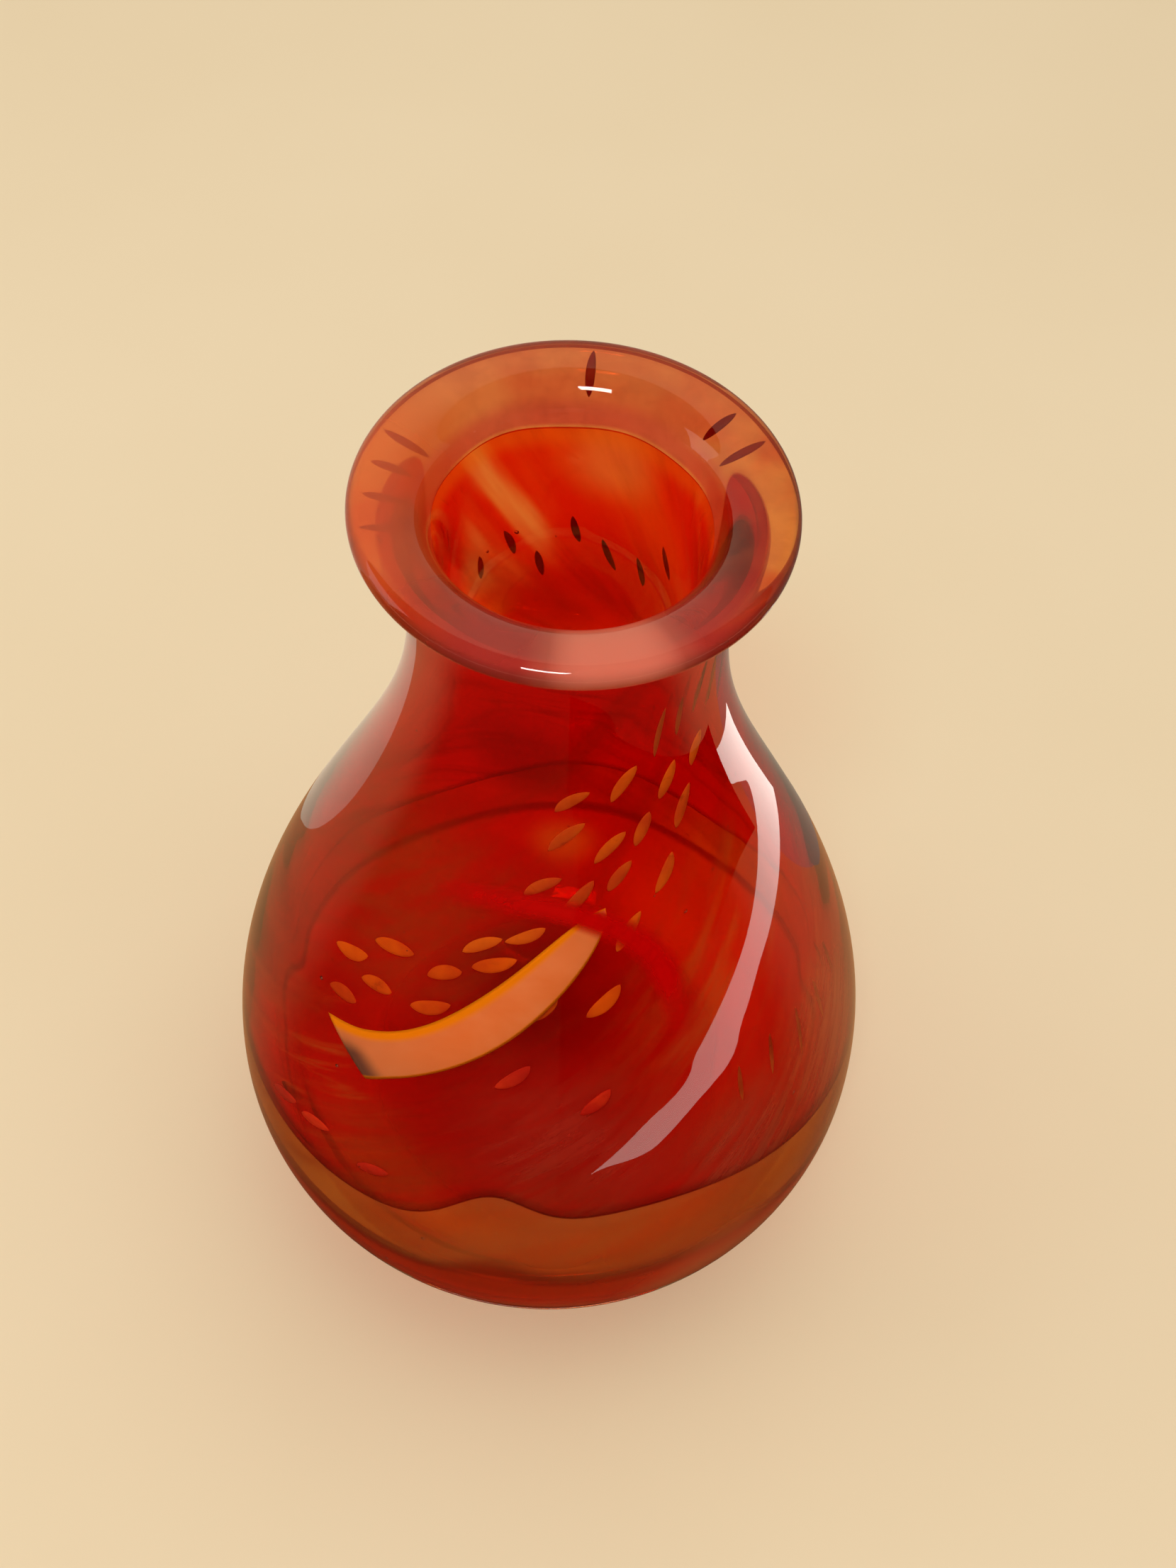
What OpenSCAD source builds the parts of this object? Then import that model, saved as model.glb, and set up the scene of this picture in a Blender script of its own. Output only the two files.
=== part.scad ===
// Hand blown vase of cased art glass: a ruby and amber colour film between a thin clear
// lining and a thick clear casing, with chips, threads and ribbons of coloured glass
// drowned in the casing. The vase stands on z = 0 with its axis on Z, and its front is -Y.

/* [Outside] */
// Height of the middle of the lip's round edge
lip_h = 228; // [215:1:250]
// Radius of the lip, out to its edge
lip_r = 40; // [39:0.5:44]
// Radius of the round edge of the lip
edge_r = 2.6; // [2:0.1:3]
// Radius of the neck at its narrowest
neck_r = 30.2; // [29:0.2:31]
// Height of the narrowest part of the neck
neck_h = 200; // [195:1:205]
// Radius of the belly at its widest
belly_r = 73; // [68:0.5:78]
// Height of the widest part of the belly
belly_h = 51; // [46:1:58]
// Radius of the ground foot
foot_r = 30; // [24:1:36]

/* [Walls] */
// Thickness of the whole wall at the neck
neck_wall = 6.2; // [6:0.1:8]
// Thickness of the whole wall at the belly
belly_wall = 6.6; // [6.4:0.1:8]
// Thickness of the glass under the cavity
floor_h = 16; // [12:1:22]
// Thickness of the clear lining
lining_t = 1; // [0.8:0.1:1]
// Thickness of the colour film
film_t = 0.9; // [0.6:0.1:0.9]
// Height at which the amber of the base gives way to ruby
base_band_h = 74; // [60:1:90]
// Share of the lip's curve that stays ruby before the amber of the lip starts
lip_band_start = 0.43; // [0.3:0.05:0.7]

/* [Pontil] */
// Radius of the polished hollow under the foot
pontil_r = 14; // [10:1:20]
// Depth of that hollow
pontil_depth = 1.2; // [0.6:0.1:2]

/* [Inlays] */
// Length of an orange chip
chip_l = 9; // [6:0.5:10]
// Breadth of an orange chip
chip_w = 2.8; // [2:0.1:3]
// Thickness of an orange chip
chip_t = 1.2; // [0.8:0.1:1.2]
// Number of long orange threads
thread_count = 10; // [4:2:10]
// Number of dark spindles in the wall of the throat
throat_count = 7; // [3:1:9]
// Length of the orange crescent
crescent_l = 76; // [60:1:78]
// Greatest breadth of the orange crescent
crescent_w = 9.2; // [6:0.2:10]
// Radius of the arch that the ruby ribbon draws
ribbon_r = 34; // [30:1:36]
// Breadth of the ruby ribbon
ribbon_w = 4; // [2:0.5:6]

/* [Hidden] */
$fn = 96;

// Points along the bowl, the body and the lip of a wall curve
bowl_steps = 12;
body_steps = 30;
lip_steps = 14;
edge_steps = 10;

// Radii of the cavity
cavity_neck_r = neck_r - neck_wall;
cavity_belly_r = belly_r - belly_wall;
// Depth of the outside of the colour film below the cavity's surface
film_out = lining_t + film_t;
// Where the round edge of the lip starts, and the angle to which the colour film curls round in it
edge_start_r = lip_r - edge_r;
curl_end = -40;

// Clear glass between the film and the chips, and the depths of the larger inlays
chip_gap = 0.3;
crescent_depth = [2.2, 2.9];
ribbon_depth = [3.2, 3.7];
// Thickness of a thread or a spindle, and where the spindles of the lip lie along its curve
thread_t = 0.8;
spindle_place = 0.84;
spindle_depth = 2.1;
// Depth of the middle of a thread or a throat spindle outside the film
thread_depth = 1.1;

// Corners of the front plane shapes, seen along +Y
crescent_mid = [-15, 129];
crescent_tilt = 45;
crescent_upper_sag = 1;
crescent_lower_sag = crescent_upper_sag + crescent_w;
ribbon_mid = [-6, 121];
ribbon_from = -5;
ribbon_to = 125;

// Streams of chips: [first turn, first height, step of the turn, step of the height, number]
band_streams = [[58, 181, -17, 0, 4], [46, 169, -14, 0, 4], [35, 158, -13, 0, 4], [23, 147, -14, -1, 4]];
cluster_streams = [[14, 134, -13, -5, 3], [-14, 137, -13, -3, 3], [-28, 124, -13, -2, 3], [-36, 112, -14, -2, 2]];
coral_streams = [[11, 107, -17, 8, 2], [-32, 78, -12, -3, 3]];

function mix(a, b, t) = a + (b - a) * t;
function bezier(a, b, c, d, t) =
    pow(1 - t, 3) * a + 3 * pow(1 - t, 2) * t * b + 3 * (1 - t) * t * t * c + pow(t, 3) * d;
// A number from -1 to 1 that wanders with i, and differs with the channel k
function wander(i, k) = sin(i * 137.5 + k * 71);

// Share of the way from the neck to the belly at height h: a raised cosine
function swell(h) = (1 - cos(180 * (neck_h - h) / (neck_h - belly_h))) / 2;
// Radius of the cavity at height h
function cavity_r(h) = cavity_neck_r + (cavity_belly_r - cavity_neck_r) * swell(h);

// The lip's upper and under surfaces, from the neck to the start of the round edge
function lip_upper(t) = bezier([cavity_neck_r, neck_h], [cavity_neck_r, lip_h - 3],
    [cavity_neck_r + 0.6, lip_h + edge_r], [edge_start_r, lip_h + edge_r], t);
function lip_under(t) = bezier([neck_r, neck_h], [neck_r, lip_h - 14],
    [neck_r + 0.8, lip_h - edge_r], [edge_start_r, lip_h - edge_r], t);

// A curve that lies d outside the cavity's surface, in three stretches
function bowl_curve(d) = [for (i = [0 : bowl_steps])
    let (a = 90 * i / bowl_steps)
    [(cavity_belly_r + d) * sin(a), belly_h - (belly_h - floor_h + d) * cos(a)]];
function body_curve(d) = [for (i = [1 : body_steps])
    let (h = mix(belly_h, neck_h, i / body_steps))
    [cavity_r(h) + d, h]];
function lip_curve(d) = [for (i = [1 : lip_steps])
    let (t = i / lip_steps)
    mix(lip_upper(t), lip_under(t), d / neck_wall)];
function wall_curve(d) = concat(bowl_curve(d), body_curve(d), lip_curve(d));
// The same curve carried on round the inside of the lip's round edge
function curl_curve(d) = [for (i = [1 : edge_steps])
    let (a = mix(90, curl_end, i / edge_steps))
    [edge_start_r, lip_h] + edge_r * (1 - 2 * d / neck_wall) * [cos(a), sin(a)]];

// The outside of the vase, from the middle of the foot to the top of the lip's edge
outer_bowl = [for (i = [0 : bowl_steps])
    let (a = 90 * i / bowl_steps)
    [foot_r + (belly_r - foot_r) * sin(a), belly_h * (1 - cos(a))]];
outer_body = [for (i = [1 : body_steps])
    let (h = mix(belly_h, neck_h, i / body_steps))
    [neck_r + (belly_r - neck_r) * swell(h), h]];
outer_lip = [for (i = [1 : lip_steps]) lip_under(i / lip_steps)];
outer_edge = [for (i = [1 : edge_steps])
    let (a = mix(-90, 90, i / edge_steps))
    [edge_start_r + edge_r * cos(a), lip_h + edge_r * sin(a)]];
outer_curve = concat([[0, 0]], outer_bowl, outer_body, outer_lip, outer_edge);

function reversed(list) = [for (i = [len(list) - 1 : -1 : 0]) list[i]];

// The solid of revolution between an inner and an outer curve
module turned(inner, outer) {
    rotate_extrude() polygon(concat(outer, reversed(inner)));
}

// The first and last points of each stretch of the colour film
film_last = bowl_steps + body_steps + lip_steps;
base_film_last = bowl_steps + ceil(body_steps * (base_band_h - belly_h) / (neck_h - belly_h));
lip_film_first = bowl_steps + body_steps + round(lip_steps * lip_band_start);

function part_of(list, first, last) = [for (i = [first : last]) list[i]];

module film(first, last) {
    turned(part_of(wall_curve(lining_t), first, last), part_of(wall_curve(film_out), first, last));
}

// The inside of the casing: along the film, round the end of its curl and back to the lining
casing_inside = concat(wall_curve(film_out), curl_curve(film_out), reversed(curl_curve(lining_t)),
    [wall_curve(lining_t)[film_last]]);

// A shell inside the casing, between two depths outside the colour film
module casing_slab(depths) {
    turned(body_curve(film_out + depths[0]), body_curve(film_out + depths[1]));
}

// A pointed oval, l long and w wide, in the XY plane with its points on Y
module pointed_oval(l, w) {
    r = (l * l + w * w) / (4 * w);
    intersection() {
        translate([r - w / 2, 0]) circle(r, $fn = 360);
        translate([w / 2 - r, 0]) circle(r, $fn = 360);
    }
}

// A chip of glass: a pointed oval plate that lies in the XZ plane
module chip(l, w, t) {
    rotate([90, 0, 0]) translate([0, 0, -t / 2]) linear_extrude(t) pointed_oval(l, w);
}

// Lays a chip against the outside of the colour film: p is a place on the film's outer curve
// as [radius, height], q the next place up the curve, and depth the way out to the chip's middle
module on_film(turn, p, q, lean, depth) {
    tip = atan2(q[0] - p[0], q[1] - p[1]);
    rotate([0, 0, turn]) translate([0, -p[0], p[1]]) rotate([tip, 0, 0])
        translate([0, -depth, 0]) rotate([0, lean, 0]) children();
}

// The same in the body, at height h
module on_body(turn, h, lean, depth) {
    on_film(turn, [cavity_r(h) + film_out, h], [cavity_r(h + 1) + film_out, h + 1], lean, depth)
        children();
}

// Lean of the swirl of the glass: nearly upright on the right, flatter on the left
function swirl(turn) = min(46 - 0.5 * turn, 64);

// A school of chips that swim in streams, each a little out of line
module school(streams, l, w) {
    for (s = streams, i = [0 : s[4] - 1]) {
        turn = s[0] + s[2] * i + 1.5 * wander(i, s[1]);
        h = s[1] + s[3] * i + 2 * wander(i, s[0]);
        on_body(turn, h, swirl(turn) + 7 * wander(i, s[0] + s[1]), chip_gap + chip_t / 2)
            chip(l * (1 + 0.12 * wander(i, s[2])), w, chip_t);
    }
}

// Clear outer glass: foot, body, neck and the round edge of the lip
module clear_casing() {
    pontil_sphere_r = (pontil_r * pontil_r + pontil_depth * pontil_depth) / (2 * pontil_depth);
    color([0.93, 0.80, 0.68, 0.35]) difference() {
        turned(casing_inside, outer_curve);
        translate([0, 0, pontil_depth - pontil_sphere_r]) sphere(pontil_sphere_r);
        orange_crescent();
        ruby_ribbon();
        orange_chips_band();
        orange_chips_cluster();
        coral_chips();
        orange_threads();
        lip_spindles();
        throat_spindles();
    }
}

// Clear skin of the cavity and of the lip's upper side
module inner_lining() {
    color([0.95, 0.72, 0.55, 0.4]) turned(wall_curve(0), wall_curve(lining_t));
}

module ruby_film() {
    color([0.75, 0.06, 0.02]) film(base_film_last, lip_film_first);
}

module amber_base_film() {
    color([0.72, 0.36, 0.07]) film(0, base_film_last);
}

module amber_lip_film() {
    color([0.80, 0.42, 0.15]) turned(
        concat(part_of(wall_curve(lining_t), lip_film_first, film_last), curl_curve(lining_t)),
        concat(part_of(wall_curve(film_out), lip_film_first, film_last), curl_curve(film_out)));
}

// A crescent of orange glass laid over the shoulder: one arc cut out of a tighter one,
// with its two ends blunt
module orange_crescent() {
    lower_r = (pow(crescent_l / 2, 2) + pow(crescent_lower_sag, 2)) / (2 * crescent_lower_sag);
    upper_r = (pow(crescent_l / 2, 2) + pow(crescent_upper_sag, 2)) / (2 * crescent_upper_sag);
    blunt_l = 0.94 * crescent_l;
    color([1, 0.47, 0.05]) intersection() {
        casing_slab(crescent_depth);
        translate([crescent_mid[0], 0, crescent_mid[1]]) rotate([90, 0, 0]) rotate(crescent_tilt)
            linear_extrude(belly_r) intersection() {
                difference() {
                    translate([0, lower_r - crescent_lower_sag]) circle(lower_r, $fn = 360);
                    translate([0, upper_r - crescent_upper_sag]) circle(upper_r, $fn = 360);
                }
                translate([-blunt_l / 2, -crescent_l / 2]) square([blunt_l, crescent_l]);
            }
    }
}

// A ribbon of deeper ruby that arches over the shoulder
module ruby_ribbon() {
    reach = 2 * ribbon_r;
    color([0.85, 0.02, 0.02]) intersection() {
        casing_slab(ribbon_depth);
        translate([ribbon_mid[0], 0, ribbon_mid[1]]) rotate([90, 0, 0])
            linear_extrude(belly_r) intersection() {
                difference() {
                    circle(ribbon_r + ribbon_w / 2);
                    circle(ribbon_r - ribbon_w / 2);
                }
                polygon(concat([[0, 0]], [for (i = [0 : 4])
                    let (a = mix(ribbon_from, ribbon_to, i / 4))
                    reach * [cos(a), sin(a)]]));
            }
    }
}

// Orange chips in streams that wind down from the neck
module orange_chips_band() {
    color([0.93, 0.42, 0.08]) school(band_streams, chip_l, chip_w);
}

// Broader orange chips that gather on the left of the belly
module orange_chips_cluster() {
    color([0.98, 0.45, 0.06]) school(cluster_streams, chip_l * 1.05, chip_w * 1.25);
}

// Coral red chips on the front and the lower left of the belly
module coral_chips() {
    color([0.93, 0.20, 0.10]) school(coral_streams, chip_l * 1.05, chip_w * 1.1);
}

// Long thin threads of orange, high on the neck and low on the right of the belly
module orange_threads() {
    color([0.85, 0.36, 0.10])
        for (i = [0 : thread_count - 1]) {
            high = i % 2;
            turn = (high ? 34 : 44) + 4.5 * i;
            h = (high ? 196 : 98) + 2 * wander(i, 2);
            on_body(turn, h, 8 + 4 * wander(i, 3), thread_depth) chip(12 + 2 * wander(i, 4), 1.3, thread_t);
        }
}

// Dark red spindles that point outwards in the lip: [first turn, step, number]
module lip_spindles() {
    groups = [[-112, 12, 4], [118, 13, 2], [178, 0, 1]];
    under_film = film_out / neck_wall;
    here = mix(lip_upper(spindle_place), lip_under(spindle_place), under_film);
    next = mix(lip_upper(spindle_place + 0.01), lip_under(spindle_place + 0.01), under_film);
    color([0.52, 0.03, 0.06])
        for (g = groups, i = [0 : g[2] - 1])
            on_film(g[0] + g[1] * i, here, next, 0, spindle_depth)
                chip(7.5 + wander(i, 1), 1.9, thread_t);
}

// Dark red spindles in the wall of the throat, at the back
module throat_spindles() {
    color([0.45, 0.01, 0.02])
        for (i = [0 : throat_count - 1]) {
            turn = 180 + 15 * (i - (throat_count - 1) / 2);
            on_body(turn, 188 + 6 * wander(i, 1), 14 + 5 * wander(i, 2), thread_depth)
                chip(9 + wander(i, 3), 1.7, thread_t);
        }
}

clear_casing();
inner_lining();
ruby_film();
amber_base_film();
amber_lip_film();
orange_crescent();
ruby_ribbon();
orange_chips_band();
orange_chips_cluster();
coral_chips();
orange_threads();
lip_spindles();
throat_spindles();
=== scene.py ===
"""A hand blown vase of cased art glass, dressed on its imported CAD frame.

One clear shell carries the whole boundary between glass and air. The colour films, the
chips, the crescent, the ribbon, the threads and the spindles lie inside it.
The vase stands on z = 0 with its axis on Z, and its front is -Y. Lengths below are in
millimetres of the design, and MM turns them into metres of the frame.
"""

import math
import random

import bmesh
import bpy
import numpy as np
from mathutils import Matrix, Vector


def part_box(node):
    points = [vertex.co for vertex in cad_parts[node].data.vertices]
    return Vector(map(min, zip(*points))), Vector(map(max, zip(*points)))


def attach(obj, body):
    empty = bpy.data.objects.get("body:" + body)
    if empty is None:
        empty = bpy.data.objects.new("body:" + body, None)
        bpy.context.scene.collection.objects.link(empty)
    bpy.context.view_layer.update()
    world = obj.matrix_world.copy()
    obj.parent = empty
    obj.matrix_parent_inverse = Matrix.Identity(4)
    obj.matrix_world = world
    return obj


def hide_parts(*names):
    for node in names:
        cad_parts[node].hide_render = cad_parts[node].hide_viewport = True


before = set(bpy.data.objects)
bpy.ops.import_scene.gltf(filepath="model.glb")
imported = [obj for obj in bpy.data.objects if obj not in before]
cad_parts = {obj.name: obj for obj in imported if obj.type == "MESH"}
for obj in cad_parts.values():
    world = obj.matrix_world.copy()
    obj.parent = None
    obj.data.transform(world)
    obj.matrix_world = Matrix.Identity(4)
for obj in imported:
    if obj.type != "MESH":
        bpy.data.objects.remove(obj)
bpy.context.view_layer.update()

# ---------------------------------------------------------------- the vase's curves

DESIGN_TOP = 230.6
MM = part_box("clear_casing")[1].z / DESIGN_TOP
BELLY_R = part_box("clear_casing")[1].x / MM

NECK_R = 30.2
NECK_H = 200.0
BELLY_H = 51.0
FOOT_R = 30.0
FLOOR_H = 16.0
EDGE_R = 2.6
EDGE_START_R = 37.4
LIP_H = DESIGN_TOP - EDGE_R
NECK_WALL = 6.2
BELLY_WALL = 6.6
LINING = 1.0
FILM = 0.9
FILM_OUT = LINING + FILM
PONTIL_R = 14.0
PONTIL_DEPTH = 1.2
CAVITY_NECK_R = NECK_R - NECK_WALL
CAVITY_BELLY_R = BELLY_R - BELLY_WALL
# The angle to which the amber film curls round inside the lip's round edge
CURL_END = math.radians(-40)

# The vase's size against its design height, for heights given in metres of the design
TALL = MM * 1000
# How far the whirl of the colour turns, in radians for each millimetre of height
WHIRL = 0.02


def mix(a, b, t):
    """A number between a and b, at a share t of the way."""
    return a + (b - a) * t


def smooth(low, high, x):
    """0 below low, 1 above high, and a soft step between them."""
    t = min(max((x - low) / (high - low), 0.0), 1.0)
    return t * t * (3 - 2 * t)


def bezier(a, b, c, d, t):
    """A point on a cubic curve with end points a and d."""
    s = 1 - t
    return tuple(s**3 * p + 3 * s * s * t * q + 3 * s * t * t * r + t**3 * w
                 for p, q, r, w in zip(a, b, c, d))


def swell(h):
    """Share of the way from the neck's radius to the belly's at height h."""
    return (1 - math.cos(math.pi * (NECK_H - h) / (NECK_H - BELLY_H))) / 2


def lip_upper(t):
    """The upper side of the flared lip, from the neck to its round edge."""
    top = LIP_H + EDGE_R
    return bezier((CAVITY_NECK_R, NECK_H), (CAVITY_NECK_R, LIP_H - 3),
                  (CAVITY_NECK_R + 0.6, top), (EDGE_START_R, top), t)


def lip_under(t):
    """The underside of the flared lip, from the neck to its round edge."""
    low = LIP_H - EDGE_R
    return bezier((NECK_R, NECK_H), (NECK_R, LIP_H - 14), (NECK_R + 0.8, low), (EDGE_START_R, low), t)


def wall_point(s, depth):
    """[radius, height] in the wall, depth outside the cavity. s is 0 at the bowl's middle, 1 at the belly,
    2 at the neck, 3 at the start of the lip's round edge and 4 at the end of the curl inside it."""
    if s <= 1:
        a = math.pi / 2 * s
        return (CAVITY_BELLY_R + depth) * math.sin(a), BELLY_H - (BELLY_H - FLOOR_H + depth) * math.cos(a)
    if s <= 2:
        h = mix(BELLY_H, NECK_H, s - 1)
        return mix(CAVITY_NECK_R, CAVITY_BELLY_R, swell(h)) + depth, h
    share = depth / NECK_WALL
    if s <= 3:
        upper = lip_upper(s - 2)
        under = lip_under(s - 2)
        return mix(upper[0], under[0], share), mix(upper[1], under[1], share)
    a = mix(math.pi / 2, CURL_END, s - 3)
    r = EDGE_R * (1 - 2 * share)
    return EDGE_START_R + r * math.cos(a), LIP_H + r * math.sin(a)


def place_of_height(h):
    """The s of wall_point at height h in the body."""
    return 1 + (h - BELLY_H) / (NECK_H - BELLY_H)


def film_radius(h):
    """Radius of the outside of the colour film at height h, in the bowl or in the body."""
    if h < BELLY_H:
        down = (BELLY_H - h) / (BELLY_H - FLOOR_H + FILM_OUT)
        return (CAVITY_BELLY_R + FILM_OUT) * math.sqrt(max(1 - down**2, 0.0))
    return mix(CAVITY_NECK_R, CAVITY_BELLY_R, swell(h)) + FILM_OUT


def shell_profile():
    """The outline of the clear glass, from the middle of the foot round the lip to the middle of the
    cavity's floor."""
    points = []
    sphere_r = (PONTIL_R**2 + PONTIL_DEPTH**2) / (2 * PONTIL_DEPTH)
    for i in range(9):
        r = PONTIL_R * i / 8
        points.append((r, PONTIL_DEPTH - sphere_r + math.sqrt(sphere_r**2 - r * r)))
    points += [(mix(PONTIL_R, FOOT_R, i / 4), 0.0) for i in range(1, 4)]
    for i in range(41):
        a = math.pi / 2 * i / 40
        points.append((FOOT_R + (BELLY_R - FOOT_R) * math.sin(a), BELLY_H * (1 - math.cos(a))))
    for i in range(1, 81):
        h = mix(BELLY_H, NECK_H, i / 80)
        points.append((NECK_R + (BELLY_R - NECK_R) * swell(h), h))
    points += [lip_under(i / 30) for i in range(1, 31)]
    for i in range(1, 17):
        a = math.pi * (i / 16 - 0.5)
        points.append((EDGE_START_R + EDGE_R * math.cos(a), LIP_H + EDGE_R * math.sin(a)))
    points += [wall_point(3 - 3 * i / 150, 0.0) for i in range(1, 151)]
    return points


# ---------------------------------------------------------------- meshes


def add_object(name, bm, smooth_faces=True, outward=True):
    """Turns a bmesh in design millimetres into an object in the frame."""
    if outward:
        bmesh.ops.recalc_face_normals(bm, faces=bm.faces)
    bmesh.ops.scale(bm, vec=(MM, MM, MM), verts=bm.verts)
    mesh = bpy.data.meshes.new(name)
    bm.to_mesh(mesh)
    bm.free()
    mesh.polygons.foreach_set("use_smooth", [smooth_faces] * len(mesh.polygons))
    obj = bpy.data.objects.new(name, mesh)
    bpy.context.scene.collection.objects.link(obj)
    return obj


def on_axis(turn, r, h):
    """The place at a turn from the front, in radians, a radius and a height."""
    return Vector((r * math.sin(turn), -r * math.cos(turn), h))


def grid_faces(bm, rows, closed):
    """Quads between rows of vertices, each row closed round the axis or open."""
    for a, b in zip(rows, rows[1:]):
        count = len(a)
        for j in range(count if closed else count - 1):
            k = (j + 1) % count
            corners = [a[j], a[k], b[k], b[j]]
            unique = list(dict.fromkeys(corners))
            if len(unique) > 2:
                bm.faces.new(unique)


def lathe(row_count, point, ring=False, steps=192):
    """The bmesh of a surface of revolution and the row of each of its vertices. point(i, turn) gives
    [radius, height] of row i at a turn, and a ring joins the last row to the first."""
    bm = bmesh.new()
    rows = []
    row_of = {}
    for i in range(row_count):
        r, h = point(i, 0.0)
        if r < 1e-6:
            rows.append([bm.verts.new((0, 0, h))] * steps)
        else:
            turns = [2 * math.pi * j / steps for j in range(steps)]
            rows.append([bm.verts.new(on_axis(t, *point(i, t))) for t in turns])
        for vert in rows[-1]:
            row_of[vert] = i
    grid_faces(bm, rows + rows[:1] if ring else rows, closed=True)
    return bm, row_of


def lobes(turn, parts):
    """The sum of soft humps round the axis, each given as (middle, breadth, height) in degrees and
    millimetres."""
    total = 0.0
    for middle, breadth, height in parts:
        away = (math.degrees(turn) - middle + 180) % 360 - 180
        total += height * math.exp(-(away / breadth) ** 2)
    return total


def wave(turn, parts):
    """A closed wave round the axis: the sum of amplitude * sin(count * turn + phase)."""
    return sum(a * math.sin(n * turn + phase) for n, a, phase in parts)


def add_bubbles(bm, count=90, seed=29):
    """Small voids in the clear glass between the inlays and the outside, drawn out along the swirl."""
    rng = random.Random(seed)
    for _ in range(count):
        s = rng.uniform(0.8, 1.98)
        turn = rng.uniform(-math.pi, math.pi)
        r, h = wall_point(s, rng.uniform(3.8, 5.2))
        size = 0.16 + 0.3 * rng.random() ** 3
        lean = Matrix.Rotation(math.radians(45), 4, "Y") @ Matrix.Diagonal((1, 1, 1.6, 1))
        place = Matrix.Translation(on_axis(turn, r, h)) @ Matrix.Rotation(turn, 4, "Z") @ lean
        ball = bmesh.ops.create_icosphere(bm, subdivisions=2, radius=size, matrix=place)
        faces = {face for vert in ball["verts"] for face in vert.link_faces}
        bmesh.ops.reverse_faces(bm, faces=list(faces))


def clear_shell():
    """The closed shell of clear glass, with a slight waver, and the bubbles in it."""
    outline = shell_profile()
    hand = ((2, 0.10, 0.4), (3, 0.07, 2.0), (5, 0.03, 1.0))

    def point(i, turn):
        r, h = outline[i]
        slack = 0.25 * smooth(0, 20, h) * smooth(0, 4, EDGE_START_R + 3 - abs(r - 20))
        return r - slack * (0.5 + wave(turn + 0.01 * h, hand)), h

    bm, _ = lathe(len(outline), point)
    bmesh.ops.recalc_face_normals(bm, faces=bm.faces)
    add_bubbles(bm)
    return add_object("clear_glass", bm, outward=False)


BASE_LOBES = ((20, 42, 15), (-8, 10, 10), (112, 20, 9), (170, 26, 12), (-125, 24, 8))
LIP_WAVE = ((2, 0.015, 0.2), (3, 0.012, 1.1), (7, 0.008, 0.7))
LOWEST_RUBY = 62.0
LIP_BORDER = 2.43
FILM_END = 4.0


def base_border(turn):
    """Where the amber of the base gives way to ruby: a wavy line, highest at the front."""
    return place_of_height(LOWEST_RUBY + lobes(turn, BASE_LOBES))


def lip_border(turn):
    """Where ruby gives way to the amber of the lip."""
    return LIP_BORDER + wave(turn, LIP_WAVE)


def film(name, first, last, rows):
    """A closed skin of coloured glass in the wall, from place first(turn) to last(turn). The second
    coordinate of its "place" map goes from 0 to 1 on the way."""
    inner = LINING + 0.05
    outer = FILM_OUT - 0.05

    def share(i):
        return (i if i <= rows else 2 * rows + 1 - i) / rows

    def point(i, turn):
        return wall_point(mix(first(turn), last(turn), share(i)), outer if i <= rows else inner)

    bm, row_of = lathe(2 * rows + 2, point, ring=True)
    uv = bm.loops.layers.uv.new("place")
    for face in bm.faces:
        for loop in face.loops:
            loop[uv].uv = (0.5, share(row_of[loop.vert]))
    return add_object(name, bm)


# Thickness of a soft chip against that of the flat chip it stands for
CHIP_PLUMP = 0.8


def loose_parts(node):
    """The separate solids of a CAD node, each as an array of its points in design millimetres."""
    bm = bmesh.new()
    bm.from_mesh(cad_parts[node].data)
    bmesh.ops.remove_doubles(bm, verts=bm.verts, dist=1e-6)
    parts = []
    seen = set()
    for start in bm.verts:
        if start in seen:
            continue
        seen.add(start)
        stack = [start]
        points = []
        while stack:
            v = stack.pop()
            points.append(tuple(v.co / MM))
            for e in v.link_edges:
                other = e.other_vert(v)
                if other not in seen:
                    seen.add(other)
                    stack.append(other)
        parts.append(np.array(points))
    bm.free()
    return sorted(parts, key=lambda p: (round(p[:, 2].mean(), 2), round(p[:, 0].mean(), 2)))


def chip_axes(points):
    """Middle, axes from the longest to the shortest, and half lengths of a chip."""
    _, vectors = np.linalg.eigh(np.cov((points - points.mean(0)).T))
    axes = [Vector(vectors[:, k]) for k in (2, 1, 0)]
    offsets = points - points.mean(0)
    centre = Vector(points.mean(0))
    halves = []
    for axis in axes:
        along = offsets @ np.array(axis)
        centre += axis * float((along.max() + along.min()) / 2)
        halves.append(float(along.max() - along.min()) / 2)
    out = Vector((centre.x, centre.y, 0))
    if axes[2].dot(out) < 0:
        axes[2] = -axes[2]
    if axes[0].z < 0:
        axes[0] = -axes[0]
    return centre, axes, halves


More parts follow.
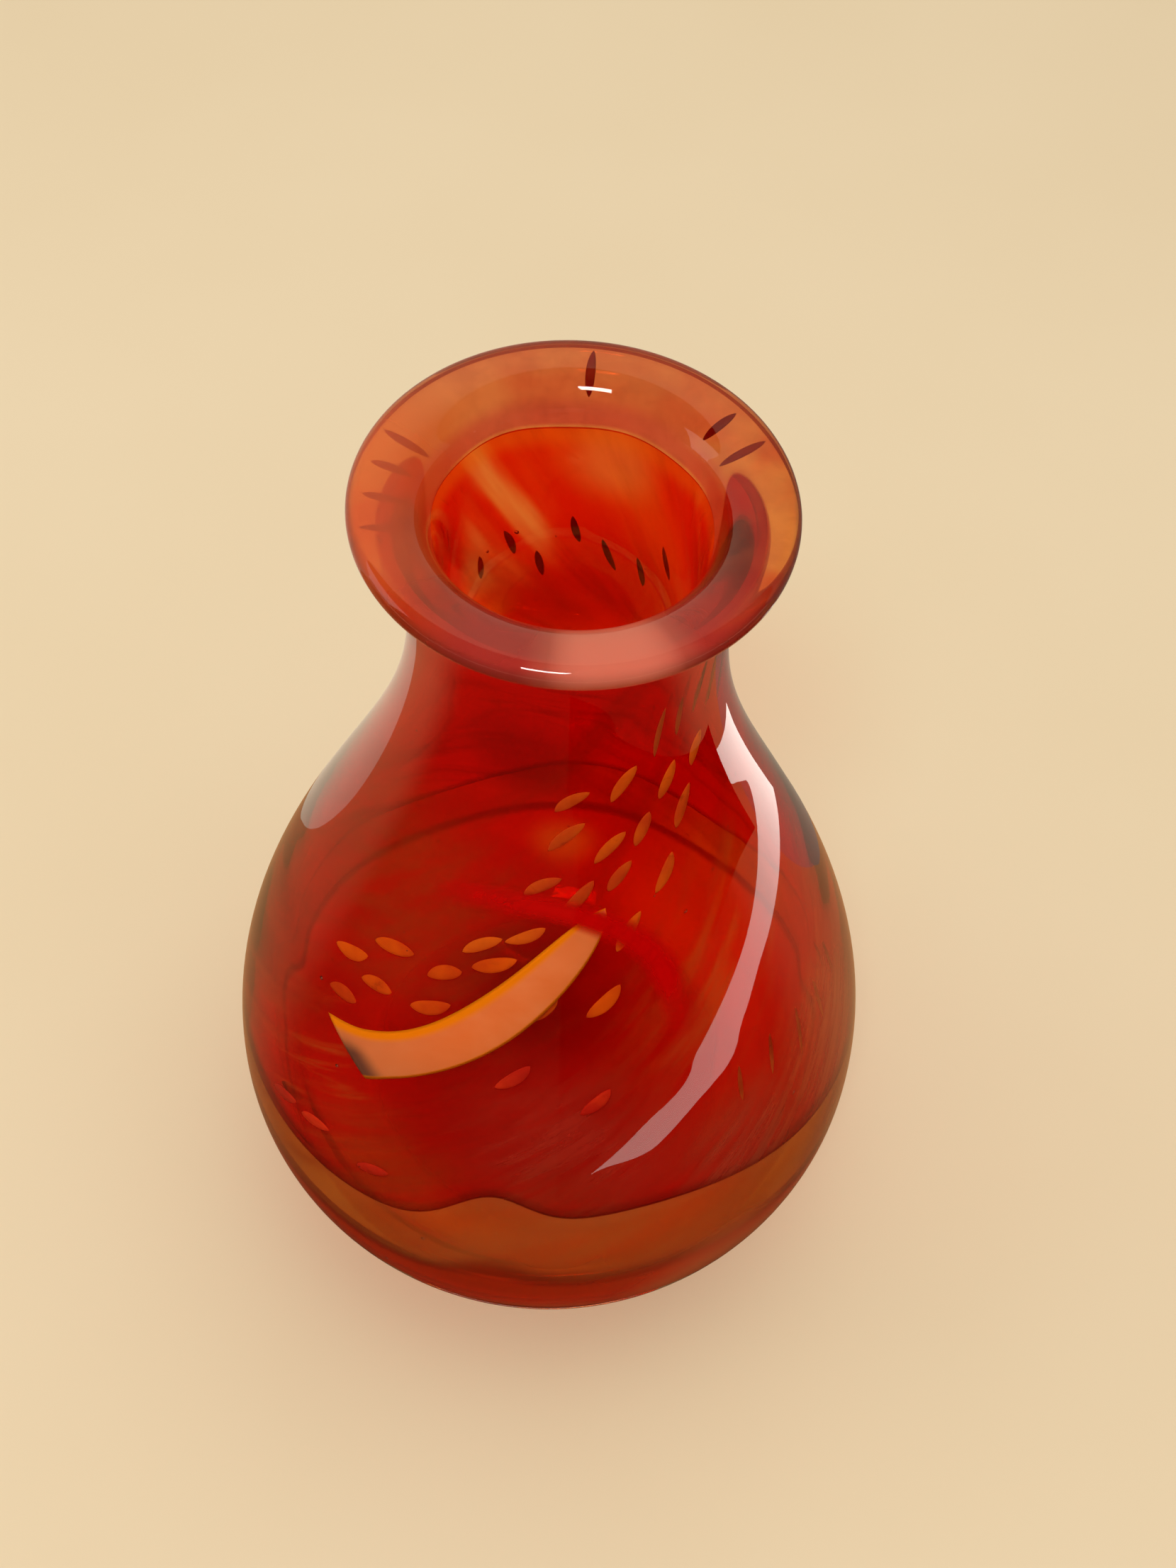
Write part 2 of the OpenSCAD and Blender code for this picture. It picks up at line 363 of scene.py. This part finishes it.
def soft_chips(name, node, seed):
    """Soft, slightly bent ovals of glass in the places of a CAD node's flat chips."""
    rng = random.Random(seed)
    bm = bmesh.new()
    lengths = 20
    rounds = 14
    for points in loose_parts(node):
        centre, (along, across, out), (half_l, half_w, half_t) = chip_axes(points)
        bend = rng.uniform(-0.10, 0.10)
        lean = rng.uniform(-0.25, 0.25)
        rows = []
        for i in range(lengths + 1):
            u = -1 + 2 * i / lengths
            body = max(1 - abs(u) ** 2.2, 0.0) ** 0.75
            broad = half_w * 0.97 * body * (1 + lean * u * 0.5)
            thick = half_t * CHIP_PLUMP * max(1 - u * u, 0.0) ** 0.5
            spine = centre + along * (half_l * u) + across * (half_w * bend * 4 * (1 - u * u))
            if i in (0, lengths):
                tip = bm.verts.new(spine)
                rows.append([tip] * rounds)
                continue
            ring = []
            for j in range(rounds):
                a = 2 * math.pi * j / rounds
                ring.append(bm.verts.new(
                    spine + across * (broad * math.cos(a)) + out * (thick * math.sin(a))))
            rows.append(ring)
        grid_faces(bm, rows, closed=True)
    return add_object(name, bm)


def strip(name, middle, half_breadth, depth, thickness, slant=0.0, lengths=96, across=12):
    """A thin closed strip of glass on the front of the body. middle(t) is its middle line in the front
    plane and half_breadth(t) its breadth to each side as (above, below). slant draws the upper corner
    of its start back, and the lower corner forward, by so many millimetres."""
    bm = bmesh.new()
    uv = bm.loops.layers.uv.new("strip")
    step = 1e-3
    sides = []
    where = {}
    for side in (1, -1):
        rows = []
        for i in range(lengths + 1):
            t = i / lengths
            here = middle(t)
            ahead = middle(min(t + step, 1.0))
            behind = middle(max(t - step, 0.0))
            way = Vector((ahead[0] - behind[0], ahead[1] - behind[1])).normalized()
            up, down = half_breadth(t)
            row = []
            for j in range(across + 1):
                v = j / across
                reach = mix(-down, up, v)
                shift = slant * (1 - 2 * v) * max(1 - 3 * t, 0.0)
                x = here[0] - way.y * reach + way.x * shift
                h = here[1] + way.x * reach + way.y * shift
                dome = math.sqrt(max(1 - (2 * v - 1) ** 2, 0.0))
                r = film_radius(h) + depth + side * thickness / 2 * dome
                turn = math.asin(max(min(x / r, 1.0), -1.0))
                edge = j in (0, across) and side < 0
                vert = sides[0][i][j] if edge else bm.verts.new(on_axis(turn, r, h))
                where[vert] = (t, v)
                row.append(vert)
            rows.append(row)
        sides.append(rows)
        grid_faces(bm, rows, closed=False)
    for i in (0, lengths):
        ring = sides[0][i] + sides[1][i][-2:0:-1]
        unique = list(dict.fromkeys(ring))
        if len(unique) > 2:
            bm.faces.new(unique)
    for face in bm.faces:
        for loop in face.loops:
            loop[uv].uv = where[loop.vert]
    return add_object(name, bm)


# ---------------------------------------------------------------- materials


class Shader:
    """A short way to write a node material."""

    def __init__(self, name):
        self.mat = bpy.data.materials.new(name)
        self.mat.use_nodes = True
        self.nt = self.mat.node_tree
        self.nt.nodes.clear()

    def add(self, kind, inputs=None, **settings):
        node = self.nt.nodes.new("ShaderNode" + kind)
        for key, value in settings.items():
            setattr(node, key, value)
        for key, value in (inputs or {}).items():
            self.put(node.inputs[key], value)
        return node

    def put(self, socket, value):
        if isinstance(value, bpy.types.NodeSocket):
            self.nt.links.new(value, socket)
        elif value is not None:
            socket.default_value = value

    def position(self):
        return self.add("TexCoord").outputs["Object"]

    def maths(self, operation, a, b=None, clamp=False):
        return self.add("Math", {0: a, 1: b}, operation=operation, use_clamp=clamp).outputs[0]

    def noise(self, vector, scale, detail=4.0, rough=0.55, warp=0.0):
        inputs = {"Vector": vector, "Scale": scale, "Detail": detail, "Roughness": rough, "Distortion": warp}
        return self.add("TexNoise", inputs).outputs["Fac"]

    def step(self, value, low, high, start=0.0, end=1.0):
        """A soft step from start, where value is low, to end, where it is high."""
        inputs = {"Value": value, "From Min": low, "From Max": high, "To Min": start, "To Max": end}
        return self.add("MapRange", inputs, interpolation_type="SMOOTHSTEP").outputs["Result"]

    def mix(self, share, a, b):
        node = self.add("Mix", data_type="RGBA")
        for key, value in ((0, share), (6, a), (7, b)):
            self.put(node.inputs[key], value)
        return node.outputs[2]

    def split(self, vector):
        return self.add("SeparateXYZ", {0: vector}).outputs

    def whirled(self, stretch=(1, 1, 1)):
        """The place on the vase, turned with height so that noise made of it winds round the axis."""
        place = self.position()
        turn = self.maths("MULTIPLY", self.split(place)["Z"], -WHIRL / MM)
        turned = self.add("VectorRotate", {"Vector": place, "Angle": turn}, rotation_type="Z_AXIS")
        return self.add("VectorMath", {0: turned.outputs[0], 1: stretch}, operation="MULTIPLY").outputs[0]

    def blob(self, turn, h, reach, strength=1.0, depth=FILM_OUT):
        """strength at a place on the body, given in degrees and millimetres, fading to 0 at reach."""
        r = film_radius(h) - FILM_OUT + depth
        centre = on_axis(math.radians(turn), r, h) * MM
        away = self.add("VectorMath", {0: self.position(), 1: centre}, operation="DISTANCE").outputs["Value"]
        return self.step(away, reach * MM, 0.2 * reach * MM, 0.0, strength)

    def paint(self, colour, patches):
        """Lays soft patches over a colour, each given as (turn, height, reach, strength, colour)."""
        for turn, h, reach, strength, over in patches:
            colour = self.mix(self.blob(turn, h, reach, strength), colour, over)
        return colour

    def facing(self, turn, near, far):
        """1 within near degrees of a turn round the axis, and 0 beyond far degrees."""
        flat = self.add("VectorMath", {0: self.position(), 1: (1, 1, 0)}, operation="MULTIPLY").outputs[0]
        way = self.add("VectorMath", {0: flat}, operation="NORMALIZE").outputs[0]
        towards = on_axis(math.radians(turn), 1.0, 0.0)
        cosine = self.add("VectorMath", {0: way, 1: towards}, operation="DOT_PRODUCT").outputs["Value"]
        return self.step(cosine, math.cos(math.radians(far)), math.cos(math.radians(near)))

    def map_value(self, name, axis):
        """One coordinate of a named map of the mesh."""
        return self.split(self.add("UVMap", uv_map=name).outputs[0])[axis]

    def finish(self, shader):
        out = self.add("OutputMaterial")
        self.nt.links.new(shader, out.inputs["Surface"])
        return self.mat


def rgb(text):
    """A linear colour from a hexadecimal display colour."""
    def linear(c):
        return c / 12.92 if c <= 0.04045 else ((c + 0.055) / 1.055) ** 2.4
    return tuple(linear(int(text[i:i + 2], 16) / 255) for i in (0, 2, 4)) + (1.0,)


def clear_material():
    """Clear glass with a faint ripple along the swirl."""
    s = Shader("clear_glass")
    ripple = s.noise(s.whirled((1, 1, 0.35)), 28.0, 2.0, 0.4)
    bump = s.add("Bump", {"Height": ripple, "Strength": 0.04, "Distance": 0.002}).outputs[0]
    bsdf = s.add("BsdfPrincipled", {
        "Base Color": (1.0, 0.985, 0.96, 1), "Roughness": 0.0, "IOR": 1.5,
        "Transmission Weight": 1.0, "Normal": bump})
    return s.finish(bsdf.outputs[0])


def stained(s, pigment, stain, cover, glow=0.35):
    """Coloured glass without refraction: part pigment that catches light on both sides, part clear stain."""
    solid = s.add("BsdfPrincipled", {
        "Base Color": pigment, "Roughness": 0.35, "Specular IOR Level": 0.0}).outputs[0]
    lit_through = s.add("BsdfTranslucent", {"Color": pigment}).outputs[0]
    body = s.add("MixShader", {0: glow, 1: solid, 2: lit_through}).outputs[0]
    clear = s.add("BsdfTransparent", {"Color": stain}).outputs[0]
    return s.add("MixShader", {0: cover, 1: clear, 2: body}).outputs[0]


# Stains are linear colours that light keeps on its way through one skin of a film
RUBY_STAIN = (0.88, 0.10, 0.015, 1)
ORANGE_STAIN = (0.94, 0.42, 0.09, 1)
MAROON_STAIN = (0.62, 0.04, 0.020, 1)
AMBER_STAIN = (0.93, 0.68, 0.42, 1)
LIP_STAIN = (0.93, 0.56, 0.27, 1)


# Soft patches of extra pigment low on the body: turn, height, reach and cover
LOW_PATCHES = ((-28, 76, 30, 0.34), (4, 76, 24, 0.28), (44, 80, 30, 0.42), (72, 84, 36, 0.46))


def ruby_material():
    """Red glass with orange clouds, maroon mottling, painted shade under the front of the lip and at both
    sides of the throat, and veins and wisps that wind up the body.
    """
    s = Shader("ruby_film")
    cloud = s.step(s.noise(s.whirled((1, 1, 0.5)), 17.0, 4.0, 0.5, 0.5), 0.48, 0.72)
    shade = s.step(s.noise(s.whirled((1, 1, 0.4)), 13.0, 3.0, 0.5, 0.3), 0.54, 0.74, 0.0, 0.6)
    wisp = s.noise(s.whirled((1, 1, 0.14)), 62.0, 8.0, 0.62, 0.4)
    fine = s.noise(s.whirled((1, 1, 0.08)), 190.0, 5.0, 0.6)
    vein = s.noise(s.whirled((1, 1, 0.10)), 74.0, 6.0, 0.55, 0.8)
    stain = s.mix(s.maths("MULTIPLY", cloud, 0.5), RUBY_STAIN, ORANGE_STAIN)
    stain = s.mix(shade, stain, MAROON_STAIN)
    stain = s.paint(stain, (
        (0, 134, 24, 0.70, MAROON_STAIN),
        # painted shade: a maroon patch on the neck just under the front of the lip
        (-12, 190, 14, 0.60, MAROON_STAIN),
        (50, 140, 44, 0.70, ORANGE_STAIN),
        (34, 104, 36, 0.55, ORANGE_STAIN),
        (3, 169, 9, 0.80, AMBER_STAIN),
        (160, 178, 26, 0.45, MAROON_STAIN),
        (165, 214, 14, 0.55, LIP_STAIN),
        (216, 168, 10, 0.40, ORANGE_STAIN),
        (250, 160, 20, 0.25, ORANGE_STAIN),
        # painted shade: maroon patches at the right and the left of the throat, in the lip's inner crease
        (92, 206, 14, 0.60, MAROON_STAIN),
        (270, 206, 14, 0.60, MAROON_STAIN),
        (150, 120, 50, 0.30, ORANGE_STAIN)))
    curtain = s.step(s.noise(s.whirled((1, 1, 0.10)), 56.0, 4.0, 0.55), 0.40, 0.60)
    curtain = s.maths("MULTIPLY", curtain, s.facing(214, 4, 30))
    curtain = s.maths("MULTIPLY", curtain, s.step(s.split(s.position())["Z"], 0.168 * TALL, 0.196 * TALL))
    stain = s.mix(curtain, stain, LIP_STAIN)
    stain = s.mix(s.step(s.map_value("place", "Y"), 0.88, 0.97, 0.0, 0.45), stain, ORANGE_STAIN)
    veined = s.maths("MAXIMUM", s.blob(-46, 88, 34, 1.0), s.blob(58, 118, 56, 1.0))
    veined = s.maths("MAXIMUM", veined, s.blob(-150, 110, 60, 1.0))
    veins = s.maths("MULTIPLY", s.step(vein, 0.50, 0.64), veined)
    stain = s.mix(s.maths("MULTIPLY", veins, 0.8), stain, AMBER_STAIN)
    stain = s.mix(s.step(fine, 0.60, 0.80, 0.0, 0.5), stain, ORANGE_STAIN)
    stain = s.mix(s.step(s.map_value("place", "Y"), 0.020, 0.002, 0.0, 0.9), stain, MAROON_STAIN)
    pigment = s.mix(cloud, rgb("b01804"), rgb("d84010"))
    pigment = s.paint(pigment, (
        (-45, 140, 46, 0.85, rgb("a86024")),
        (-52, 90, 34, 0.70, rgb("dc6a2c")),
        (8, 96, 36, 0.80, rgb("d05038")),
        (62, 120, 50, 0.80, rgb("f07430")),
        (-28, 76, 28, 0.80, rgb("b4581c")),
        (4, 76, 24, 0.80, rgb("a84c28")),
        (44, 80, 28, 0.85, rgb("c06a44")),
        (72, 84, 34, 0.85, rgb("e08844"))))
    cover = s.step(wisp, 0.46, 0.74, 0.03, 0.36)
    extra = s.maths("MAXIMUM", s.blob(-45, 145, 44, 0.26), s.blob(5, 94, 40, 0.42))
    for turn, h, reach, strength in LOW_PATCHES:
        extra = s.maths("MAXIMUM", extra, s.blob(turn, h, reach, strength))
    extra = s.maths("MAXIMUM", extra, s.maths("MULTIPLY", veins, 0.35))
    grain = s.step(fine, 0.35, 0.65, 0.4, 1.0)
    cover = s.maths("MAXIMUM", cover, s.maths("MULTIPLY", extra, grain))
    return s.finish(stained(s, pigment, stain, cover))


def amber_base_material():
    """Brown and amber glass, with a dark line at the foot, and a painted glow of light at the front and on
    the right.
    """
    s = Shader("amber_base_film")
    streak = s.noise(s.whirled((1, 1, 0.3)), 50.0, 8.0, 0.6, 0.6)
    cloud = s.step(s.noise(s.whirled(), 22.0, 4.0, 0.5), 0.40, 0.65)
    place = s.map_value("place", "Y")
    stain = s.mix(cloud, AMBER_STAIN, (0.84, 0.50, 0.22, 1))
    stain = s.mix(s.step(streak, 0.56, 0.75, 0.0, 0.7), stain, (0.74, 0.28, 0.10, 1))
    stain = s.mix(s.step(place, 0.885, 0.855), stain, (0.62, 0.22, 0.20, 1))
    stain = s.mix(s.step(place, 0.845, 0.80), stain, (0.98, 0.50, 0.16, 1))
    pigment = s.mix(cloud, rgb("c88038"), rgb("dc9448"))
    pigment = s.mix(s.step(place, 0.88, 0.84), pigment, rgb("e05018"))
    cover = s.step(s.noise(s.whirled(), 30.0, 5.0, 0.55), 0.35, 0.75, 0.16, 0.36)
    cover = s.maths("MAXIMUM", cover, s.step(place, 0.46, 0.36, 0.0, 0.7))
    # painted light: bright pigment low at the front and the front right stands for floor light refracted
    # through the thick foot, with its highlight
    ring = s.maths("MAXIMUM", s.blob(38, 34, 34, 1.0), s.blob(6, 26, 26, 0.6))
    pigment = s.mix(ring, pigment, rgb("f08a54"))
    cover = s.maths("MAXIMUM", cover, s.maths("MULTIPLY", ring, 0.95))
    return s.finish(stained(s, pigment, stain, cover))


def amber_lip_material():
    """Orange and amber glass, with more pigment on the left, pinker pigment at the front that is partly
    painted reflection haze, and a painted highlight at the front right.
    """
    s = Shader("amber_lip_film")
    place = s.map_value("place", "Y")
    fine = s.noise(s.position(), 110.0, 6.0, 0.6)
    cloud = s.step(s.noise(s.position(), 34.0, 4.0, 0.5, 0.5), 0.42, 0.66)
    stain = s.mix(cloud, LIP_STAIN, (0.88, 0.36, 0.16, 1))
    stain = s.mix(s.step(place, 0.15, 0.06, 0.0, 0.7), stain, (0.78, 0.18, 0.16, 1))
    golden = s.maths("MULTIPLY", s.step(place, 0.018, 0.008, 0.0, 0.8), s.facing(180, 45, 75))
    stain = s.mix(golden, stain, (0.98, 0.68, 0.26, 1))
    stain = s.mix(s.step(place, 0.52, 0.80), stain, (0.62, 0.42, 0.20, 1))
    stain = s.mix(s.maths("MULTIPLY", s.facing(178, 35, 80), 0.5), stain, (0.86, 0.46, 0.34, 1))
    pigment = s.mix(cloud, rgb("c8643a"), rgb("b84024"))
    # more and pinker pigment at the front of the lip: partly the lip's own pink, partly painted reflection
    # haze
    front = s.facing(6, 20, 80)
    left = s.facing(-84, 15, 60)
    pigment = s.mix(front, pigment, rgb("d86058"))
    pigment = s.mix(left, pigment, rgb("f07c40"))
    # painted highlight: pale pink pigment in a narrow patch at the front right of the lip
    painted_highlight = s.facing(14, 6, 26)
    pigment = s.mix(painted_highlight, pigment, rgb("f8a890"))
    cover = s.step(fine, 0.35, 0.70, 0.05, 0.22)
    cover = s.maths("MAXIMUM", cover, s.maths("MULTIPLY", front, 0.36))
    cover = s.maths("MAXIMUM", cover, s.maths("MULTIPLY", left, 0.40))
    cover = s.maths("MAXIMUM", cover, s.maths("MULTIPLY", painted_highlight, 0.62))
    return s.finish(stained(s, pigment, stain, cover, 0.5))


def chip_material(name, core, edge, cover=0.94):
    """Nearly solid colour, mottled from core to edge and grained with dark specks."""
    s = Shader(name)
    grain = s.noise(s.position(), 260.0, 4.0, 0.6)
    patch = s.noise(s.position(), 70.0, 3.0, 0.5)
    colour = s.mix(s.step(patch, 0.35, 0.65), rgb(core), rgb(edge))
    colour = s.mix(s.step(grain, 0.58, 0.8, 0.0, 0.5), colour, rgb("8a2404"))
    return s.finish(stained(s, colour, rgb(edge), s.step(grain, 0.2, 0.5, cover - 0.12, cover), 0.4))


def crescent_material():
    """Pale orange glass with a brighter rim and a dull corner at its cut end."""
    s = Shader("orange_crescent")
    along = s.map_value("strip", "X")
    across = s.map_value("strip", "Y")
    cloud = s.noise(s.position(), 40.0, 4.0, 0.5, 0.4)
    inside = s.mix(s.step(cloud, 0.35, 0.65), rgb("f48440"), rgb("fc9858"))
    inside = s.mix(s.step(along, 0.50, 0.05, 0.0, 0.4), inside, rgb("d88858"))
    corner = s.maths("MULTIPLY", s.step(along, 0.10, 0.02), s.step(across, 0.80, 0.45))
    inside = s.mix(corner, inside, rgb("7c4a38"))
    rim = s.maths("MAXIMUM", s.step(across, 0.76, 0.90), s.step(across, 0.10, 0.03))
    colour = s.mix(rim, inside, rgb("ff9408"))
    return s.finish(stained(s, colour, rgb("ff8a20"), 0.97, 0.25))


def ribbon_material():
    """Red glass that fades out towards its edges and its ends."""
    s = Shader("ruby_ribbon")
    along = s.map_value("strip", "X")
    across = s.map_value("strip", "Y")
    edge = s.maths("MULTIPLY", s.step(across, 0.0, 0.45), s.step(across, 1.0, 0.55))
    ends = s.maths("MULTIPLY", s.step(along, 0.0, 0.25), s.step(along, 1.0, 0.75))
    streak = s.noise(s.whirled((1, 1, 0.4)), 90.0, 5.0, 0.6)
    shape = s.maths("MULTIPLY", edge, ends)
    cover = s.maths("MULTIPLY", shape, s.step(streak, 0.3, 0.6, 0.50, 0.88))
    return s.finish(stained(s, rgb("e00606"), (1, 1, 1, 1), cover, 0.3))


def floor_material():
    s = Shader("studio_floor")
    grain = s.noise(s.position(), 6.0, 3.0, 0.5)
    colour = s.mix(grain, rgb("e2d3b6"), rgb("dccbab"))
    matt = s.add("BsdfPrincipled", {"Base Color": colour, "Roughness": 0.7, "Specular IOR Level": 0.0})
    return s.finish(matt.outputs[0])


# ---------------------------------------------------------------- the pieces


def dress(obj, material, slot, *nodes):
    """Gives a piece its material and its body, and hides the CAD nodes that it stands for."""
    obj.data.materials.clear()
    obj.data.materials.append(material)
    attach(obj, "root")
    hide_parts(*nodes)
    return obj


shell = dress(clear_shell(), clear_material(), "clear_casing", "clear_casing", "inner_lining")
shell.visible_shadow = False

dress(film("ruby_glass", base_border, lip_border, 110), ruby_material(), "ruby_film", "ruby_film")
dress(film("amber_base_glass", lambda turn: 0.0, base_border, 50), amber_base_material(),
      "amber_base_film", "amber_base_film")
dress(film("amber_lip_glass", lip_border, lambda turn: FILM_END, 60), amber_lip_material(),
      "amber_lip_film", "amber_lip_film")

orange = chip_material("orange_chips", "f47418", "e0501a")
deep_orange = chip_material("deep_orange_chips", "f86c10", "e04810")
coral = chip_material("coral_chips", "f0401c", "d82818")
thread_glass = chip_material("orange_threads", "e06424", "c03c10", 0.75)
dark_glass = chip_material("dark_spindles", "94101c", "b01c28", 0.72)
for name, node, seed, material in (
        ("orange_band_chips", "orange_chips_band", 3, orange),
        ("orange_cluster_chips", "orange_chips_cluster", 5, deep_orange),
        ("coral_glass_chips", "coral_chips", 7, coral),
        ("orange_glass_threads", "orange_threads", 11, thread_glass),
        ("dark_lip_spindles", "lip_spindles", 13, dark_glass),
        ("dark_throat_spindles", "throat_spindles", 17, dark_glass)):
    dress(soft_chips(name, node, seed), material, node, node)

# Middles of the crescent and of the ribbon in the front plane, as (x, height)
CRESCENT_MIDDLE = (-15, 129)
CRESCENT_TILT = math.radians(45)
CRESCENT_LENGTH = 72
CRESCENT_SAG = 4.6
RIBBON_MIDDLE = (-6, 121)
RIBBON_R = 34
RIBBON_HALF = 3.6


def arc(middle, tilt, length, sag):
    """A shallow arc in the front plane that hangs sag below its chord: t from 0 to 1 gives [x, height]."""
    radius = (length * length / 4 + sag * sag) / (2 * sag)
    half = math.asin(length / 2 / radius)
    c, s = math.cos(tilt), math.sin(tilt)

    def point(t):
        a = mix(-half, half, t)
        x = radius * math.sin(a)
        y = radius * math.cos(half) - radius * math.cos(a)
        return middle[0] + x * c - y * s, middle[1] + x * s + y * c

    return point


def crescent_breadth(t):
    """Broad from its cut left end to past its middle, and drawn to a point on the right."""
    half = mix(4.3, 5.1, smooth(0.2, 0.6, t)) + 0.5 * (1 - smooth(0.0, 0.12, t))
    half *= (1 - min(t, 1.0)**8) ** 0.7
    return half, half


crescent_line = arc(CRESCENT_MIDDLE, CRESCENT_TILT, CRESCENT_LENGTH, CRESCENT_SAG)
crescent = strip("crescent_glass", crescent_line, crescent_breadth, depth=2.55, thickness=0.7, slant=2.2)
dress(crescent, crescent_material(), "orange_crescent", "orange_crescent")


def ribbon_middle(t):
    """The ribbon's middle line: an arch that starts on the left and runs down on the right."""
    a = math.radians(mix(125, -5, t))
    r = RIBBON_R + 1.2 * math.sin(5 * t)
    return RIBBON_MIDDLE[0] + r * math.cos(a), RIBBON_MIDDLE[1] + r * math.sin(a)


ribbon = strip("ribbon_glass", ribbon_middle, lambda t: (RIBBON_HALF, RIBBON_HALF), depth=3.5, thickness=0.5)
dress(ribbon, ribbon_material(), "ruby_ribbon", "ruby_ribbon")

# ---------------------------------------------------------------- floor, light and camera


FLOOR_RADIUS = 12000


def floor():
    """A plain pale floor that reaches past the edge of the view."""
    bm = bmesh.new()
    bmesh.ops.create_circle(bm, cap_ends=True, segments=96, radius=FLOOR_RADIUS)
    obj = add_object("studio_floor", bm, smooth_faces=False)
    obj.data.materials.append(floor_material())


def softbox(name, middle, target, size, power, colour=(1.0, 0.95, 0.88)):
    """A rectangular studio light at middle that faces target, in design millimetres."""
    light = bpy.data.lights.new(name, "AREA")
    light.shape = "RECTANGLE"
    light.size = size[0] * MM
    light.size_y = size[1] * MM
    light.energy = power
    light.color = colour
    obj = bpy.data.objects.new(name, light)
    obj.location = Vector(middle) * MM
    way = (Vector(target) - Vector(middle)).normalized()
    obj.rotation_euler = way.to_track_quat("-Z", "Y").to_euler()
    obj.visible_camera = False
    bpy.context.scene.collection.objects.link(obj)
    return obj


def mirror_card(name, corners, colour, strength, fade=None):
    """A glowing card that shows only in reflections, as the wall or the table of a real room would.
    fade, as (axis, from, to, strength), changes its strength between two places on an axis."""
    bm = bmesh.new()
    rows = [[bm.verts.new(corner) for corner in row] for row in corners]
    grid_faces(bm, rows, closed=False)
    obj = add_object(name, bm, smooth_faces=False)
    s = Shader(name)
    glow = s.add("Emission", {"Color": colour, "Strength": strength})
    if fade:
        axis, near, far, other = fade
        where = s.split(s.position())[axis]
        s.put(glow.inputs["Strength"], s.step(where, near * MM, far * MM, strength, other))
    obj.data.materials.append(s.finish(glow.outputs[0]))
    obj.visible_camera = False
    obj.visible_diffuse = False
    obj.visible_transmission = False
    obj.visible_shadow = False
    obj.visible_volume_scatter = False


WALL_Y = 101.0
WALL_TOP = 450.0
ROOM = 1500.0
TABLE = 0.5
# The turn, in degrees, at which the bright band is highest, and the height of its upper edge there
BAND_CREST = 66.0
BAND_TOP = 87.5
BAND_R = 150
FLAG_R = 100


def arch(turn):
    """Height of the upper edge of the bright band at a turn round the vase, in degrees."""
    fall = 0.0135 if turn < BAND_CREST else 0.0098
    return BAND_TOP - fall * (turn - BAND_CREST) ** 2


def ring_rows(radius, first, last, low, high):
    """Rows of the lower and upper corners of a band on a cylinder round the vase, between two turns."""
    rows = []
    for i in range(61):
        turn = mix(first, last, i / 60)
        rows.append([on_axis(math.radians(turn), radius, edge(turn)) for edge in (low, high)])
    return rows


def band_foot(turn):
    """Height of the lower edge of the bright band, which narrows to the front and to the back."""
    return arch(turn) - mix(14.5, 8.0, smooth(52, 80, turn)) * smooth(12, 32, turn)


def studio():
    """The floor, the lights, the cards that only reflections show, and a uniform world light."""
    floor()
    lip = (0, 0, LIP_H)
    softbox("window_front", (-120, -620, 1240), lip, (300, 200), 5.0)
    sky = softbox("sky_top", (200, 300, 1500), (0, 0, 100), (1400, 1400), 6.0)
    sky.visible_glossy = False
    softbox("side_left", (-1100, 100, 600), (0, 0, 100), (700, 700), 2.0)
    wall = [[(-ROOM, WALL_Y, h), (ROOM, WALL_Y, h)] for h in (0, WALL_TOP)]
    mirror_card("wall_card", wall, (0.85, 0.67, 0.47, 1), 0.9, ("X", -50, 100, 0.35))
    table = [[(-ROOM, y, TABLE), (ROOM, y, TABLE)] for y in (-ROOM, WALL_Y)]
    mirror_card("table_card", table, (0.40, 0.20, 0.08, 1), 0.15, ("Y", -60, 40, 1.2))
    mirror_card("band_card", ring_rows(BAND_R, 14, 131, band_foot, arch), (1.0, 0.96, 0.86, 1), 2.6)
    # A black flag that keeps the band out of the hollow of the neck, which would show it again
    flag = ring_rows(FLAG_R, 5, 100, lambda turn: arch(turn) + 30, lambda turn: arch(turn) + 90)
    mirror_card("flag_card", flag, (0, 0, 0, 1), 0.0)
    world = bpy.data.worlds.new("studio")
    world.use_nodes = True
    world.node_tree.nodes["Background"].inputs["Color"].default_value = (0.95, 0.88, 0.78, 1)
    world.node_tree.nodes["Background"].inputs["Strength"].default_value = 0.72
    world.cycles_visibility.glossy = False
    bpy.context.scene.world = world


# The camera's angle below the horizon and its roll in degrees, its place, and its sensor and lens
CAMERA_PITCH = 55.073
CAMERA_ROLL = 3.937
CAMERA_PLACE = (5.698, -256.795, 511.424)
SENSOR_HEIGHT = 24.0
LENS = 33.2875226


def camera():
    """Looks down at the vase from the front and above, with a slight roll."""
    pitch = math.radians(CAMERA_PITCH)
    roll = math.radians(CAMERA_ROLL)
    place = Vector(CAMERA_PLACE) * MM
    forward = Vector((0, math.cos(pitch), -math.sin(pitch)))
    up = Vector((0, math.sin(pitch), math.cos(pitch)))
    right = Vector((1, 0, 0))
    local_x = right * math.cos(roll) + up * math.sin(roll)
    local_y = up * math.cos(roll) - right * math.sin(roll)
    data = bpy.data.cameras.new("front_camera")
    data.sensor_fit = "VERTICAL"
    data.sensor_height = SENSOR_HEIGHT
    data.lens = LENS
    data.clip_start = 0.01
    obj = bpy.data.objects.new("front_camera", data)
    bpy.context.scene.collection.objects.link(obj)
    rotation = np.array([local_x, local_y, -forward]).T
    matrix = [list(rotation[i]) + [place[i]] for i in range(3)] + [[0, 0, 0, 1]]
    obj.matrix_world = Matrix(matrix)
    bpy.context.scene.camera = obj


studio()
camera()

scene = bpy.context.scene
scene.view_settings.view_transform = "Standard"
scene.cycles.max_bounces = 24
scene.cycles.transmission_bounces = 20
scene.cycles.transparent_max_bounces = 24
scene.cycles.glossy_bounces = 8
scene.cycles.diffuse_bounces = 4
scene.cycles.caustics_refractive = True
scene.cycles.caustics_reflective = True
scene.cycles.sample_clamp_indirect = 6.0
